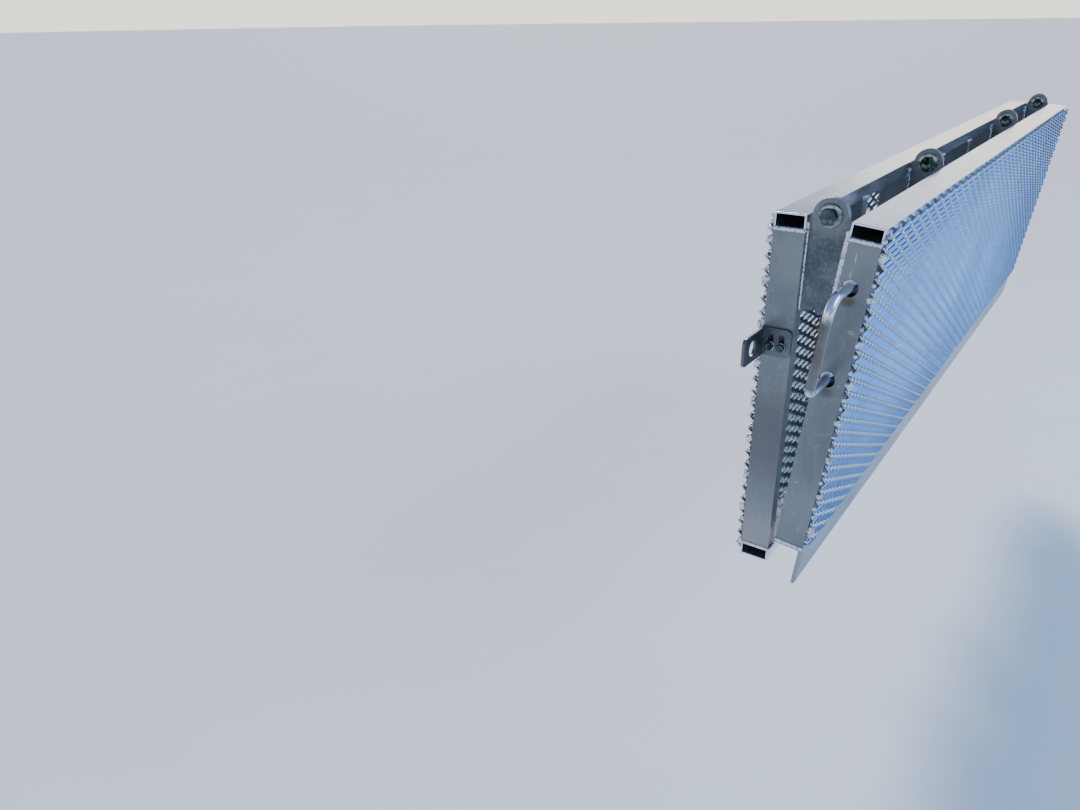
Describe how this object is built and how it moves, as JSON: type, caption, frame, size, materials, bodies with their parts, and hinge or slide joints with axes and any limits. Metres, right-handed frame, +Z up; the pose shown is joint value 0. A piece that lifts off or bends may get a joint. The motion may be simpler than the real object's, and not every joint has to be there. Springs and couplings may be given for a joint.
{
  "type": "folding loading ramp",
  "caption": "Full-width rear loading ramp of two framed mesh panels that fold together on a top hinge and lower on a bottom hinge.",
  "frame": {"origin": "middle of the lower hinge line, on the axis of the lower hinge bolts", "axes": "+X across the ramp along both hinge lines, +Y forward to the vehicle's bed, +Z up along the upright inner panel; the ramp is upright with the outer panel folded down behind the inner one"},
  "size_m": [2.3196, 0.2027, 0.705],
  "materials": {
    "frame_tube": "mill-finish extruded tube with fine draw lines and light scuffs",
    "expanded_mesh": "raised expanded sheet, bright sheared edges",
    "lip_angle": "mill-finish extruded angle, scuffed edge",
    "hinge_plates": "dull mottled plate with cut edges",
    "latch_plates": "smooth bent plate",
    "handle_bar": "drawn round bar, smooth",
    "hinge_steel": "dull galvanised plate",
    "zinc_fasteners": "zinc plated, faint yellow cast"
  },
  "bodies": {
    "trailer_side": {"hinge_clevis_1": "hinge_steel", "hinge_clevis_2": "hinge_steel", "hinge_clevis_3": "hinge_steel", "hinge_clevis_4": "hinge_steel", "lower_bolts": "zinc_fasteners", "lower_washers": "zinc_fasteners", "lower_nuts": "zinc_fasteners"},
    "inner_panel": {"inner_top_rail": "frame_tube", "inner_bottom_rail": "frame_tube", "inner_side_rail_left": "frame_tube", "inner_side_rail_right": "frame_tube", "inner_stile_1": "frame_tube", "inner_stile_2": "frame_tube", "inner_stile_3": "frame_tube", "inner_stile_4": "frame_tube", "inner_stile_5": "frame_tube", "inner_stile_6": "frame_tube", "inner_mesh": "expanded_mesh", "inner_hinge_plate_1": "hinge_plates", "inner_hinge_plate_2": "hinge_plates", "inner_hinge_plate_3": "hinge_plates", "inner_hinge_plate_4": "hinge_plates", "lower_lug_1": "hinge_steel", "lower_lug_2": "hinge_steel", "lower_lug_3": "hinge_steel", "lower_lug_4": "hinge_steel", "latch_bracket_left": "latch_plates", "latch_bracket_right": "latch_plates", "latch_bracket_bolts": "zinc_fasteners", "latch_bracket_washers": "zinc_fasteners", "latch_bracket_inserts": "zinc_fasteners", "fold_bolts": "zinc_fasteners", "fold_washers": "zinc_fasteners", "fold_nuts": "zinc_fasteners"},
    "outer_panel": {"outer_top_rail": "frame_tube", "outer_side_rail_left": "frame_tube", "outer_side_rail_right": "frame_tube", "outer_stile_1": "frame_tube", "outer_stile_2": "frame_tube", "outer_stile_3": "frame_tube", "outer_stile_4": "frame_tube", "outer_stile_5": "frame_tube", "outer_stile_6": "frame_tube", "outer_mesh": "expanded_mesh", "ground_lip": "lip_angle", "lip_flange": "lip_angle", "outer_hinge_plate_1": "hinge_plates", "outer_hinge_plate_2": "hinge_plates", "outer_hinge_plate_3": "hinge_plates", "outer_hinge_plate_4": "hinge_plates", "handle_left": "handle_bar", "handle_right": "handle_bar"}
  },
  "joints": [
    {"name": "lowering_hinge", "type": "hinge", "parent": "trailer_side", "child": "inner_panel", "pos_m": [0, 0, 0], "axis": [1, 0, 0], "range_deg": [0, 112]},
    {"name": "fold_hinge", "type": "hinge", "parent": "inner_panel", "child": "outer_panel", "pos_m": [0, -0.0594, 0.653], "axis": [-1, 0, 0], "range_deg": [0, 187]}
  ]
}
